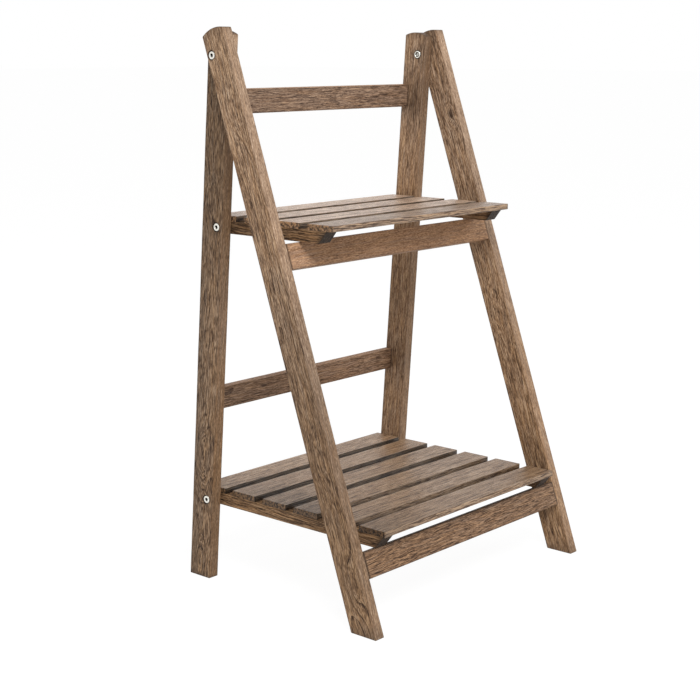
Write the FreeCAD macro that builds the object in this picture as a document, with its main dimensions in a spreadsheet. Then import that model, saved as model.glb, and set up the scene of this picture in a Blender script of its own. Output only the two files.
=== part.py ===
import FreeCAD
import Part
import Sketcher
import os

# A folding shelf: a front and a rear leg frame that turn on two bolts at the top, and two slatted
# shelves that turn on bolts in the rear frame and rest on the front frame's rails. Millimetres.
# X runs along the width, the front faces -Y, +Z is up, and the origin is on the floor in the middle.

SIZES = {
    # The stand, open on the floor
    "overall_width": 412.75,
    "overall_depth": 311.15,
    "overall_height": 666.75,
    # Legs: boards on edge, with a crowned top and a foot cut level
    "front_leg_width": 34.0,
    "front_leg_thickness": 15.0,
    "rear_leg_width": 33.3,
    "rear_leg_thickness": 15.0,
    "rear_leg_drop": 3.5,
    "crown_rise": 4.0,
    "leg_ease": 1.2,
    # Rails: the front pair carries the shelves, the back pair stops them when they are folded up
    "front_rail_height": 30.0,
    "front_rail_thickness": 12.0,
    "shelf_rest_gap": 0.2,
    "upper_back_rail_height": 29.0,
    "upper_back_rail_top_share": 0.8939,
    "lower_back_rail_height": 27.5,
    "lower_back_rail_top_share": 0.3529,
    "back_rail_thickness": 10.5,
    "rail_ease": 1.0,
    # Shelves: slats across two bearers. The levels are shares of the overall height, the shelf depth is
    # a share of the overall depth, and the tail is the share of the rear slat that lies behind the bolts
    "upper_shelf_level_share": 0.6727,
    "lower_shelf_level_share": 0.1687,
    "lower_shelf_depth_share": 0.924,
    "shelf_side_gap": 4.875,
    "slat_thickness": 7.0,
    "slat_gap": 12.5,
    "slat_ease": 0.5,
    "shelf_tail_share": 0.64,
    "bearer_height": 14.4,
    "bearer_thickness": 19.0,
    "bearer_slope_run": 11.0,
    "bearer_rear_setback": 2.0,
    "upper_bearer_setback": 9.0,
    "lower_bearer_setback": 2.0,
    "bearer_ease": 0.8,
    # Pivot bolts, nuts, washers and spacers. The top pivot lies this share of half the depth behind
    # the middle, and the legs lean as its place asks
    "top_pivot_drop": 32.1,
    "top_pivot_back_share": 0.6106,
    "top_pivot_front_inset": 6.8,
    "top_pivot_rear_inset": 21.5,
    "shelf_pivot_depth": 5.2,
    "fold_clearance": 0.3,
    "bolt_diameter": 6.0,
    "bolt_head_diameter": 9.5,
    "bolt_head_height": 2.6,
    "bolt_socket_across": 4.0,
    "bolt_socket_depth": 1.6,
    "bolt_tip_setback": 1.0,
    "head_recess_diameter": 11.0,
    "head_recess_depth": 3.0,
    "nut_thickness": 3.5,
    "nut_diameter": 9.5,
    "washer_thickness": 1.0,
    "washer_diameter": 12.0,
    "spacer_diameter": 10.0,
    "pivot_clearance": 0.05,
    "loose_clearance": 0.2,
    # Dowels in the rail joints and nails under the slats
    "dowel_diameter": 6.0,
    "dowel_length": 24.0,
    "dowel_leg_depth": 9.0,
    "dowel_end_space": 0.5,
    "dowel_place_share": 0.25,
    "glue_clearance": 0.02,
    "nail_diameter": 1.6,
    "nail_length": 19.0,
    "nail_place_share": 0.16,
    # How far a cutting tool reaches past the face that it opens
    "overrun": 2.0,
}
UPPER_SLATS = 4
LOWER_SLATS = 6
# An edge runs along an axis when its unit tangent lies along it to at least this share
PARALLEL_SHARE = 0.999
LEFT = -1
RIGHT = 1
SIDES = {"left": LEFT, "right": RIGHT}

doc = FreeCAD.newDocument("folding_shelf")
sheet = doc.addObject("Spreadsheet::Sheet", "Sizes")
for row, (alias, value) in enumerate(SIZES.items(), start=1):
    sheet.set(f"A{row}", alias)
    sheet.set(f"B{row}", str(value))
    sheet.setAlias(f"B{row}", alias)
doc.recompute()

# Places worked out from the sizes. The names ending in reach are distances along X from the middle,
# those ending in run are distances along a leg from the floor line at its outer corner.
front_angle = "front_tilt * 1deg"
rear_angle = "rear_tilt * 1deg"
LAYOUT = {
    "leg_outer_reach": "Sizes.overall_width / 2",
    "front_inner_reach": "leg_outer_reach - Sizes.front_leg_thickness",
    "rear_outer_reach": "front_inner_reach - Sizes.washer_thickness",
    "rear_inner_reach": "rear_outer_reach - Sizes.rear_leg_thickness",
    "bearer_outer_reach": "rear_inner_reach - Sizes.shelf_side_gap",
    "bearer_inner_reach": "bearer_outer_reach - Sizes.bearer_thickness",
    "front_corner": "-Sizes.overall_depth / 2",
    "rear_corner": "Sizes.overall_depth / 2",
    # The top pivot, and the lean of the legs that brings each leg's bolt line through it
    "top_pivot_y": "Sizes.top_pivot_back_share * Sizes.overall_depth / 2",
    "top_pivot_height": "Sizes.overall_height - Sizes.top_pivot_drop",
    "top_pivot_front_offset": "Sizes.front_leg_width - Sizes.top_pivot_front_inset",
    "top_pivot_front_span": "sqrt((top_pivot_y - front_corner)^2 + top_pivot_height^2)",
    "top_pivot_rear_span": "sqrt((rear_corner - top_pivot_y)^2 + top_pivot_height^2)",
    "top_pivot_front_run": "sqrt(top_pivot_front_span^2 - top_pivot_front_offset^2)",
    "top_pivot_rear_run": "sqrt(top_pivot_rear_span^2 - Sizes.top_pivot_rear_inset^2)",
    "front_tilt": "(atan((top_pivot_y - front_corner) / top_pivot_height)"
                  " - asin(top_pivot_front_offset / top_pivot_front_span)) / 1deg",
    "rear_tilt": "(atan((rear_corner - top_pivot_y) / top_pivot_height)"
                 " - asin(Sizes.top_pivot_rear_inset / top_pivot_rear_span)) / 1deg",
    # Crowned tops: an arc over the whole width of the leg
    "front_crown_radius": "(Sizes.front_leg_width^2 / 4 + Sizes.crown_rise^2) / (2 * Sizes.crown_rise)",
    "rear_crown_radius": "(Sizes.rear_leg_width^2 / 4 + Sizes.crown_rise^2) / (2 * Sizes.crown_rise)",
    "front_shoulder_run": f"(Sizes.overall_height - front_crown_radius + Sizes.front_leg_width / 2"
                          f" * sin({front_angle})) / cos({front_angle})"
                          f" + front_crown_radius - Sizes.crown_rise",
    "rear_shoulder_run": f"(Sizes.overall_height - Sizes.rear_leg_drop - rear_crown_radius"
                         f" + Sizes.rear_leg_width / 2 * sin({rear_angle})) / cos({rear_angle})"
                         f" + rear_crown_radius - Sizes.crown_rise",
    "front_foot_rise": f"Sizes.front_leg_width * tan({front_angle})",
    "rear_foot_rise": f"Sizes.rear_leg_width * tan({rear_angle})",
    # Shelf pivots: folded up, the slats lie just clear of the back rails
    "shelf_pivot_inset": "Sizes.back_rail_thickness + Sizes.slat_thickness + Sizes.shelf_pivot_depth"
                         " + Sizes.fold_clearance",
    "slat_pitch": f"(Sizes.lower_shelf_depth_share * Sizes.overall_depth + Sizes.slat_gap) / {LOWER_SLATS}",
    "slat_width": "slat_pitch - Sizes.slat_gap",
    "slat_length": "2 * bearer_outer_reach",
    "shelf_tail": "Sizes.shelf_tail_share * slat_width",
    "bearer_bottom": "Sizes.shelf_pivot_depth - Sizes.bearer_height",
    # How much the eased top edge of a leaning front rail lies below its sharp corner
    "front_rail_ease_drop": f"Sizes.rail_ease * (sin({front_angle}) + cos({front_angle}) - 1)",
}
for tier, slats in (("upper", UPPER_SLATS), ("lower", LOWER_SLATS)):
    LAYOUT[f"{tier}_pivot_height"] = (f"Sizes.{tier}_shelf_level_share * Sizes.overall_height"
                                      f" - Sizes.slat_thickness - Sizes.shelf_pivot_depth")
    LAYOUT[f"{tier}_pivot_run"] = (f"{tier}_pivot_height / cos({rear_angle})"
                                   f" + shelf_pivot_inset * tan({rear_angle})")
    LAYOUT[f"{tier}_pivot_y"] = (f"rear_corner - shelf_pivot_inset * cos({rear_angle})"
                                 f" - {tier}_pivot_run * sin({rear_angle})")
    LAYOUT[f"{tier}_front_edge"] = f"shelf_tail - {slats} * slat_pitch + Sizes.slat_gap"
    LAYOUT[f"{tier}_bearer_front"] = f"{tier}_front_edge + Sizes.{tier}_bearer_setback"
    LAYOUT[f"{tier}_bearer_length"] = (f"shelf_tail - Sizes.bearer_rear_setback"
                                       f" - {tier}_bearer_front")
    LAYOUT[f"{tier}_front_rail_run"] = (f"({tier}_pivot_height + bearer_bottom - Sizes.shelf_rest_gap"
                                        f" + front_rail_ease_drop) / cos({front_angle})"
                                        f" - Sizes.front_rail_height")
    LAYOUT[f"{tier}_back_rail_run"] = (f"Sizes.{tier}_back_rail_top_share * Sizes.overall_height"
                                       f" / cos({rear_angle}) - Sizes.{tier}_back_rail_height")

layout = doc.addObject("App::VarSet", "Layout")
for name, formula in LAYOUT.items():
    layout.addProperty("App::PropertyFloat", name, "Layout")
    layout.setExpression(name, formula)
doc.recompute()

# Frames: the leg frames lean, the shelves and pivots stand square. Each is a place and a lean.
FRAMES = {
    "front": {"y": "Layout.front_corner", "z": "0", "axis": (-1, 0, 0), "lean": "Layout.front_tilt"},
    "rear": {"y": "Layout.rear_corner", "z": "0", "axis": (1, 0, 0), "lean": "Layout.rear_tilt"},
    "top": {"y": "Layout.top_pivot_y", "z": "Layout.top_pivot_height"},
    "upper": {"y": "Layout.upper_pivot_y", "z": "Layout.upper_pivot_height"},
    "lower": {"y": "Layout.lower_pivot_y", "z": "Layout.lower_pivot_height"},
}
ALONG_X = FreeCAD.Rotation(FreeCAD.Vector(0, 1, 0), 90)
nodes = []


def bind(thing, **formulas):
    """Bind properties of a document object to formulas; a double underscore stands for a dot."""
    for path, formula in formulas.items():
        thing.setExpression(path.replace("__", "."), formula)


def stand_in(thing, frame):
    """Place an object in one of the frames."""
    place = FRAMES[frame]
    if "lean" in place:
        thing.Placement = FreeCAD.Placement(FreeCAD.Vector(),
                                            FreeCAD.Rotation(FreeCAD.Vector(*place["axis"]), 1))
        bind(thing, Placement__Rotation__Angle=place["lean"])
    bind(thing, Placement__Base__y=place["y"], Placement__Base__z=place["z"])


def new_body(label, frame):
    """A body for one solid piece, placed in a frame."""
    body = doc.addObject("PartDesign::Body", label)
    body.Label = label
    stand_in(body, frame)
    return body


def group(label, frame, solids):
    """A group of like solids that is one node, placed in a frame."""
    compound = doc.addObject("Part::Compound", label)
    compound.Label = label
    compound.Links = solids
    stand_in(compound, frame)
    nodes.append(compound)


def start_of(side, near, far):
    """The lowest X of a stretch that lies between two reaches on one side."""
    return near if side == RIGHT else f"-({far})"


def rod(body, kind, name, side, near, far, diameter, y="0", z="0"):
    """Add or cut a round rod along X, between two reaches on one side."""
    feature = body.newObject(f"PartDesign::{kind}Cylinder", name)
    feature.Placement = FreeCAD.Placement(FreeCAD.Vector(), ALONG_X)
    bind(feature, Radius=f"({diameter}) / 2", Height=f"({far}) - ({near})",
         Placement__Base__x=start_of(side, near, far), Placement__Base__y=y, Placement__Base__z=z)
    return feature


def block(body, length, y, width, z, height):
    """Add a square block, centred along X, from a place in Y and Z."""
    feature = body.newObject("PartDesign::AdditiveBox", "Blank")
    bind(feature, Length=length, Width=width, Height=height,
         Placement__Base__x=f"-({length}) / 2", Placement__Base__y=y, Placement__Base__z=z)
    doc.recompute()
    return feature


def ease(body, base, radius, along=None):
    """Round the edges of a feature: all of them, or those that run along one axis."""
    fillet = body.newObject("PartDesign::Fillet", "Ease")
    names = [""]
    if along is not None:
        names = [f"Edge{i}" for i, edge in enumerate(base.Shape.Edges, start=1)
                 if abs(edge.tangentAt(edge.FirstParameter).dot(along)) > PARALLEL_SHARE]
    fillet.Base = (base, names)
    fillet.UseAllEdges = along is None
    bind(fillet, Radius=radius)
    doc.recompute()


def plane_of(body, role):
    """One of the body's own origin planes."""
    return next(plane for plane in body.Origin.OriginFeatures if plane.Role == role)


def outline(body, points, crown=None):
    """A closed outline in the YZ plane from corners given as pairs of formulas, none negative.

    The corners go round from the lower front one. With crown, a radius, the top side is an arc.
    """
    sketch = body.newObject("Sketcher::SketchObject", "Outline")
    sketch.AttachmentSupport = (plane_of(body, "YZ_Plane"), "")
    sketch.MapMode = "FlatFace"
    values = [[doc_value(formula) for formula in point] for point in points]
    corners = [FreeCAD.Vector(y, z, 0) for y, z in values]
    top = len(corners) - 2
    for i, corner in enumerate(corners):
        after = corners[(i + 1) % len(corners)]
        if crown and i == top:
            radius = doc_value(crown)
            middle = (corner + after) / 2
            half = (corner - after).Length / 2
            drop = (radius ** 2 - half ** 2) ** 0.5
            bulge = middle + FreeCAD.Vector(0, radius - drop, 0)
            sketch.addGeometry(Part.Arc(corner, bulge, after), False)
            sketch.addConstraint(Sketcher.Constraint("Radius", i, radius))
            sketch.setExpression(f"Constraints[{sketch.ConstraintCount - 1}]", crown)
        else:
            sketch.addGeometry(Part.LineSegment(corner, after), False)
    for i, (y, z) in enumerate(points):
        before = (i - 1) % len(points)
        sketch.addConstraint(Sketcher.Constraint("Coincident", before, 2, i, 1))
        for kind, formula, value in (("DistanceX", y, values[i][0]), ("DistanceY", z, values[i][1])):
            sketch.addConstraint(Sketcher.Constraint(kind, -1, 1, i, 1, value))
            if formula != "0":
                sketch.setExpression(f"Constraints[{sketch.ConstraintCount - 1}]", formula)
    return sketch


def doc_value(formula):
    """The number that a formula gives with the present sizes."""
    return float(sheet.evalExpression(formula))


def extrude(body, sketch, side, near, far, y="0", z="0"):
    """Pad an outline along X between two reaches on one side, shifted by a place in Y and Z."""
    bind(sketch, AttachmentOffset__Base__x=y, AttachmentOffset__Base__y=z,
         AttachmentOffset__Base__z=start_of(side, near, far))
    pad = body.newObject("PartDesign::Pad", "Board")
    pad.Profile = sketch
    bind(pad, Length=f"({far}) - ({near})")
    doc.recompute()
    return pad


def dowel_places(run, height):
    """The two dowels at a rail's end, as distances along the leg."""
    return [f"{run} + {share} * {height}"
            for share in ("Sizes.dowel_place_share", "(1 - Sizes.dowel_place_share)")]


dowel_hole = "Sizes.dowel_diameter + 2 * Sizes.glue_clearance"
pivot_hole = "Sizes.bolt_diameter + 2 * Sizes.pivot_clearance"
thread_hole = "Sizes.bolt_diameter + 2 * Sizes.glue_clearance"
loose_hole = "Sizes.bolt_diameter + 2 * Sizes.loose_clearance"

# The two leg frames: their pieces, the leg's measures and the rails that each carries
LEG_FRAMES = {
    "front": {
        "width": "Sizes.front_leg_width",
        "inner": "Layout.front_inner_reach",
        "outer": "Layout.leg_outer_reach",
        "y": "0",
        "foot": ("0", "Layout.front_foot_rise"),
        "shoulder": "Layout.front_shoulder_run",
        "crown": "Layout.front_crown_radius",
        "rail_y": "0",
        "rail_thickness": "Sizes.front_rail_thickness",
        "rails": {"front_rail_upper": ("Layout.upper_front_rail_run", "Sizes.front_rail_height"),
                  "front_rail_lower": ("Layout.lower_front_rail_run", "Sizes.front_rail_height")},
    },
    "rear": {
        "width": "Sizes.rear_leg_width",
        "inner": "Layout.rear_inner_reach",
        "outer": "Layout.rear_outer_reach",
        "y": "-Sizes.rear_leg_width",
        "foot": ("Layout.rear_foot_rise", "0"),
        "shoulder": "Layout.rear_shoulder_run",
        "crown": "Layout.rear_crown_radius",
        "rail_y": "-Sizes.back_rail_thickness",
        "rail_thickness": "Sizes.back_rail_thickness",
        "rails": {"back_rail_upper": ("Layout.upper_back_rail_run", "Sizes.upper_back_rail_height"),
                  "back_rail_lower": ("Layout.lower_back_rail_run", "Sizes.lower_back_rail_height")},
    },
}


def leg(frame, side_name):
    """One leg: a board on edge with a level foot, a crowned top, bolt holes and dowel sockets."""
    side = SIDES[side_name]
    made = LEG_FRAMES[frame]
    inner, outer = made["inner"], made["outer"]
    body = new_body(f"{frame}_leg_{side_name}", frame)
    corners = [("0", made["foot"][0]), (made["width"], made["foot"][1]),
               (made["width"], made["shoulder"]), ("0", made["shoulder"])]
    board = extrude(body, outline(body, corners, crown=made["crown"]), side, inner, outer, y=made["y"])
    ease(body, board, "Sizes.leg_ease")
    past_inner, past_outer = f"{inner} - Sizes.overrun", f"{outer} + Sizes.overrun"
    recess = "Sizes.head_recess_diameter"
    if frame == "front":
        pivot = {"y": "Layout.top_pivot_front_offset", "z": "Layout.top_pivot_front_run"}
        rod(body, "Subtractive", "BoltHole", side, past_inner, past_outer, pivot_hole, **pivot)
        rod(body, "Subtractive", "HeadRecess", side, f"{outer} - Sizes.head_recess_depth", past_outer,
            recess, **pivot)
    else:
        pivot = {"y": "-Sizes.top_pivot_rear_inset", "z": "Layout.top_pivot_rear_run"}
        rod(body, "Subtractive", "BoltHole", side, past_inner, past_outer, pivot_hole, **pivot)
        rod(body, "Subtractive", "NutRecess", side, past_inner, f"{inner} + Sizes.head_recess_depth",
            recess, **pivot)
        for tier in ("upper", "lower"):
            pivot = {"y": "-Layout.shelf_pivot_inset", "z": f"Layout.{tier}_pivot_run"}
            rod(body, "Subtractive", "ShelfBoltHole", side, past_inner, past_outer, pivot_hole, **pivot)
            rod(body, "Subtractive", "ShelfHeadRecess", side, f"{outer} - Sizes.head_recess_depth",
                past_outer, recess, **pivot)
    socket_end = f"{inner} + Sizes.dowel_leg_depth + Sizes.dowel_end_space"
    for run, height in made["rails"].values():
        for place in dowel_places(run, height):
            rod(body, "Subtractive", "DowelSocket", side, past_inner, socket_end, dowel_hole,
                y=f"{made['rail_y']} + {made['rail_thickness']} / 2", z=place)
    nodes.append(body)


def rail(frame, label):
    """One cross rail between two legs, with eased long edges and dowel holes in its ends."""
    made = LEG_FRAMES[frame]
    run, height = made["rails"][label]
    inner = made["inner"]
    body = new_body(label, frame)
    blank = block(body, f"2 * {inner}", made["rail_y"], made["rail_thickness"], run, height)
    ease(body, blank, "Sizes.rail_ease", along=FreeCAD.Vector(1, 0, 0))
    hole_end = f"{inner} - Sizes.dowel_length + Sizes.dowel_leg_depth - Sizes.dowel_end_space"
    for side in SIDES.values():
        for place in dowel_places(run, height):
            rod(body, "Subtractive", "DowelHole", side, hole_end, f"{inner} + Sizes.overrun", dowel_hole,
                y=f"{made['rail_y']} + {made['rail_thickness']} / 2", z=place)
    nodes.append(body)


def plain_rod(name, side, near, far, diameter, y="0", z="0"):
    """A plain round rod along X between two reaches on one side."""
    cylinder = doc.addObject("Part::Cylinder", name)
    cylinder.Placement = FreeCAD.Placement(FreeCAD.Vector(), ALONG_X)
    bind(cylinder, Radius=f"({diameter}) / 2", Height=f"({far}) - ({near})",
         Placement__Base__x=start_of(side, near, far), Placement__Base__y=y, Placement__Base__z=z)
    return cylinder


def dowels(frame, label):
    """The dowels of one leg frame, two at each end of each rail."""
    made = LEG_FRAMES[frame]
    far = f"{made['inner']} + Sizes.dowel_leg_depth"
    pegs = []
    for run, height in made["rails"].values():
        for side in SIDES.values():
            for place in dowel_places(run, height):
                peg = plain_rod("Dowel", side, f"{far} - Sizes.dowel_length", far, "Sizes.dowel_diameter",
                                y=f"{made['rail_y']} + {made['rail_thickness']} / 2", z=place)
                pegs.append(peg)
    group(label, frame, pegs)


for frame, made in LEG_FRAMES.items():
    for side_name in SIDES:
        leg(frame, side_name)
    for label in made["rails"]:
        rail(frame, label)
dowels("front", "front_rail_dowels")
dowels("rear", "back_rail_dowels")


def nail_places(tier, slats, index):
    """The two nails across a slat, counted from the rear, as places in Y on the shelf.

    Those of the front slat stand behind the slope of the bearer's front end.
    """
    start = f"(Sizes.{tier}_bearer_setback + Sizes.bearer_slope_run)" if index == slats - 1 else "0"
    front = f"Layout.shelf_tail - {index} * Layout.slat_pitch - Layout.slat_width + {start}"
    return [f"{front} + {share} * (Layout.slat_width - {start})"
            for share in ("Sizes.nail_place_share", "(1 - Sizes.nail_place_share)")]


def upright(feature, side, y, z, height, diameter):
    """Set up an upright cylinder in the middle of a bearer."""
    middle = "(Layout.bearer_inner_reach + Layout.bearer_outer_reach) / 2"
    bind(feature, Radius=f"({diameter}) / 2", Height=height,
         Placement__Base__x=f"{side} * {middle}", Placement__Base__y=y, Placement__Base__z=z)


nail_hole = "Sizes.nail_diameter + 2 * Sizes.glue_clearance"
nail_bite = "(Sizes.nail_length - Sizes.bearer_height + Sizes.dowel_end_space)"


def slat(tier, slats, index):
    """One slat of a shelf, eased all round, with blind nail holes from below."""
    body = new_body(f"{tier}_slat_{index + 1}", tier)
    front = f"Layout.shelf_tail - {index} * Layout.slat_pitch - Layout.slat_width"
    blank = block(body, "Layout.slat_length", front, "Layout.slat_width",
                  "Sizes.shelf_pivot_depth", "Sizes.slat_thickness")
    ease(body, blank, "Sizes.slat_ease")
    for side in SIDES.values():
        for place in nail_places(tier, slats, index):
            hole = body.newObject("PartDesign::SubtractiveCylinder", "NailHole")
            upright(hole, side, place, "Sizes.shelf_pivot_depth - Sizes.overrun",
                    f"{nail_bite} + Sizes.overrun", nail_hole)
    nodes.append(body)


def bearer(tier, slats, side_name):
    """One bearer under a shelf's slat ends, with a sloping front end, the bolt hole and nail holes."""
    side = SIDES[side_name]
    inner, outer = "Layout.bearer_inner_reach", "Layout.bearer_outer_reach"
    body = new_body(f"{tier}_bearer_{side_name}", tier)
    length = f"Layout.{tier}_bearer_length"
    corners = [("Sizes.bearer_slope_run", "0"), (length, "0"), (length, "Sizes.bearer_height"),
               ("0", "Sizes.bearer_height")]
    board = extrude(body, outline(body, corners), side, inner, outer,
                    y=f"Layout.{tier}_bearer_front", z="Layout.bearer_bottom")
    ease(body, board, "Sizes.bearer_ease", along=FreeCAD.Vector(0, 1, 0))
    rod(body, "Subtractive", "BoltHole", side, f"{inner} - Sizes.overrun", f"{outer} + Sizes.overrun",
        pivot_hole)
    for index in range(slats):
        for place in nail_places(tier, slats, index):
            hole = body.newObject("PartDesign::SubtractiveCylinder", "NailHole")
            upright(hole, side, place, "Layout.bearer_bottom - Sizes.overrun",
                    "Sizes.bearer_height + 2 * Sizes.overrun", nail_hole)
    nodes.append(body)


def nails(tier, slats):
    """The nails of a shelf, driven up through the bearers, two at each end of each slat."""
    pins = []
    for side in SIDES.values():
        for index in range(slats):
            for place in nail_places(tier, slats, index):
                pin = doc.addObject("Part::Cylinder", "Nail")
                upright(pin, side, place, "Layout.bearer_bottom", "Sizes.nail_length",
                        "Sizes.nail_diameter")
                pins.append(pin)
    group(f"{tier}_slat_nails", tier, pins)


for tier, slats in (("upper", UPPER_SLATS), ("lower", LOWER_SLATS)):
    for index in range(slats):
        slat(tier, slats, index)
    for side_name in SIDES:
        bearer(tier, slats, side_name)
    nails(tier, slats)


def bolt(side, head_outer, nut_inner):
    """One pivot bolt: a flat head with a hex socket in a recess, and a plain shank to its nut."""
    body = doc.addObject("PartDesign::Body", "Bolt")
    seat = f"({head_outer} - Sizes.head_recess_depth)"
    face = f"({seat} + Sizes.bolt_head_height)"
    rod(body, "Additive", "Head", side, seat, face, "Sizes.bolt_head_diameter")
    rod(body, "Additive", "Shank", side, f"{nut_inner} + Sizes.bolt_tip_setback", seat,
        "Sizes.bolt_diameter")
    socket = body.newObject("PartDesign::SubtractivePrism", "Socket")
    socket.Polygon = 6
    socket.Placement = FreeCAD.Placement(FreeCAD.Vector(), ALONG_X)
    near, far = f"{face} - Sizes.bolt_socket_depth", f"{face} + Sizes.overrun"
    bind(socket, Circumradius="Sizes.bolt_socket_across / sqrt(3)", Height=f"({far}) - ({near})",
         Placement__Base__x=start_of(side, near, far))
    return body


def ring(name, side, near, far, diameter, hole):
    """A round piece with a hole for the bolt: a nut, a washer or a spacer."""
    body = doc.addObject("PartDesign::Body", name)
    rod(body, "Additive", "Round", side, near, far, diameter)
    rod(body, "Subtractive", "Hole", side, f"{near} - Sizes.overrun", f"{far} + Sizes.overrun", hole)
    return body


def pivots(frame, prefix, head_outer, nut_outer, gap, gap_label, gap_diameter):
    """Both bolts of a pivot, their nuts, and what fills the gap between the two pieces that turn."""
    nut_inner = f"{nut_outer} - Sizes.nut_thickness"
    gap_near, gap_far = gap
    sides = SIDES.values()
    group(f"{prefix}_bolts", frame, [bolt(side, head_outer, nut_inner) for side in sides])
    group(f"{prefix}_nuts", frame,
          [ring("Nut", side, nut_inner, nut_outer, "Sizes.nut_diameter", thread_hole) for side in sides])
    group(f"{prefix}_{gap_label}", frame,
          [ring("Gap", side, gap_near, gap_far, gap_diameter, loose_hole) for side in sides])


pivots("top", "top_pivot", "Layout.leg_outer_reach", "Layout.rear_inner_reach + Sizes.head_recess_depth",
       ("Layout.rear_outer_reach", "Layout.front_inner_reach"), "washers", "Sizes.washer_diameter")
for tier in ("upper", "lower"):
    pivots(tier, f"{tier}_shelf_pivot", "Layout.rear_outer_reach", "Layout.bearer_inner_reach",
           ("Layout.bearer_outer_reach", "Layout.rear_inner_reach"), "spacers", "Sizes.spacer_diameter")

doc.recompute()
for thing in doc.Objects:
    bad = [state for state in thing.State if state in ("Invalid", "Error")]
    if bad:
        raise RuntimeError(f"{thing.Label} did not build: {bad}")
for node in nodes:
    if node.Shape.isNull() or not node.Shape.isValid() or not node.Shape.Solids:
        raise RuntimeError(f"{node.Label} has no sound shape")
os.makedirs("parts", exist_ok=True)
for node in nodes:
    node.Shape.exportStep(f"parts/{node.Label}.step")
for node in nodes:
    box = node.Shape.BoundBox
    print(f"{node.Label:24s} {len(node.Shape.Solids):3d} {node.Shape.Volume:10.1f}",
          f"x {box.XMin:7.2f} {box.XMax:7.2f} y {box.YMin:7.2f} {box.YMax:7.2f}",
          f"z {box.ZMin:7.2f} {box.ZMax:7.2f}")
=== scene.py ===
import bmesh
import bpy
import math
import numpy as np
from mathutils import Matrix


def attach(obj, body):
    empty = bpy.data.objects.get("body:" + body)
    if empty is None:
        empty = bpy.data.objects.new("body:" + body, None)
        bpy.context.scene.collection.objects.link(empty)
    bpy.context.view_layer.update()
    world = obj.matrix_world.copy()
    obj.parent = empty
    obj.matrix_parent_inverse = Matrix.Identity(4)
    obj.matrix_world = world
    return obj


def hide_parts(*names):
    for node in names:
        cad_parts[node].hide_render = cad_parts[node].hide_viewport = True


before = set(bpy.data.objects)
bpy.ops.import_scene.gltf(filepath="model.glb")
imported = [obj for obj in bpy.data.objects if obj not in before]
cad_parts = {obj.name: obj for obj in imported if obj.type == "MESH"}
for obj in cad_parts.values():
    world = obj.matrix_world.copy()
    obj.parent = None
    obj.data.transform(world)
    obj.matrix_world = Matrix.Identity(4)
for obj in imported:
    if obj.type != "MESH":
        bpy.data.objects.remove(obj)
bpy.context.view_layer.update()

# Front legs: two boards on edge, sawn from an open-grained timber, brushed, stained brown and rubbed
# back. The foot is cut level, the top is crowned, and a counterbore near the rear edge takes the
# head of the top pivot bolt.
MM = 0.001
FRONT_LEAN = math.radians(19.2602)
FRONT_LEG_WIDTH = 34.0 * MM
LEG_THICKNESS = 15.0 * MM
LEG_EASE = 1.2 * MM
LEG_END_EASE = 0.9 * MM
CROWN_RISE = 4.0 * MM
FRONT_SHOULDER = 705.98 * MM
FRONT_LEG_ROWS = (20 * MM, 698 * MM)
HALF_WIDTH = 206.375 * MM
HALF_DEPTH = 155.575 * MM
BOLT_RECESS_RADIUS = 5.5 * MM
BOLT_RECESS_DEPTH = 3.0 * MM
FRONT_BOLT_RUN = 681.81 * MM
FRONT_BOLT_INSET = 6.8 * MM


def wander(places, seed, wave, sines=4, shortest=0.45, longest=1.6):
    """A slow, seeded wander between -1 and 1: the mean of sines, each shortest to longest times wave."""
    draw = np.random.default_rng(seed)
    lengths = wave * draw.uniform(shortest, longest, sines)
    phases = draw.uniform(0, 2 * np.pi, sines)
    return np.sin(2 * np.pi * np.asarray(places)[..., None] / lengths + phases).mean(axis=-1)


# A loop's columns: their distance on a side, the distance of the outermost ones from a corner, and the
# degrees of those that turn round it.
COLUMN_STEP = 2.2 * MM
CORNER_MARGIN = 0.35 * MM
CORNER_TURNS = (22.5, 45.0, 67.5)


def loop_columns(half):
    """The columns of a rectangular loop with round corners, as core places, normals and corner shares.

    A loop point is core * (half - radius) + normal * radius. Along a side the core runs from -1 to 1
    and the normal stands square to it; round a corner the core stays and the normal turns 90 degrees.
    """
    core, normal, shares = [], [], []
    for side in range(4):
        length = half[side % 2]
        count = max(2, int(round(2 * length / COLUMN_STEP)))
        near = 1 - CORNER_MARGIN / length
        run = np.concatenate([[-1, -near], np.linspace(-1, 1, count + 1)[1:-1], [near, 1]])
        turn = side * np.pi / 2
        along = np.array([np.cos(turn), np.sin(turn)])
        out = np.array([np.sin(turn), -np.cos(turn)])
        core.append(run[:, None] * along + out)
        normal.append(np.repeat(out[None], len(run), axis=0))
        share = np.zeros((len(run), 4))
        share[:, side] = (1 - run) / 2
        share[:, (side + 1) % 4] = (1 + run) / 2
        shares.append(share)
        turns = np.radians(CORNER_TURNS)[:, None]
        core.append(np.repeat((along + out)[None], len(turns), axis=0))
        normal.append(np.cos(turns) * out + np.sin(turns) * along)
        share = np.zeros((len(turns), 4))
        share[:, (side + 1) % 4] = 1
        shares.append(share)
    return np.concatenate(core), np.concatenate(normal), np.concatenate(shares)


# Edges wear unevenly along a board: the wave, the mean and the swing of their rounding. Then the degrees of
# an end's rounding, the sizes of the loops that close its lid, and a hole's surround, lip and rings.
EASE_WAVE = 90 * MM
EASE_MEAN = 0.825
EASE_SWING = 0.175
EASE_SEED_STEP = 10
END_TURNS = (0.0, 30.0, 60.0, 90.0)
LID_SCALES = (0.82, 0.6, 0.38, 0.16)
HOLE_CLEARANCE = 3.5 * MM
HOLE_LIP = 0.35 * MM
SURROUND_STEPS = (0.45, 0.8)
FLOOR_SCALES = (0.6, 0.25)


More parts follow.
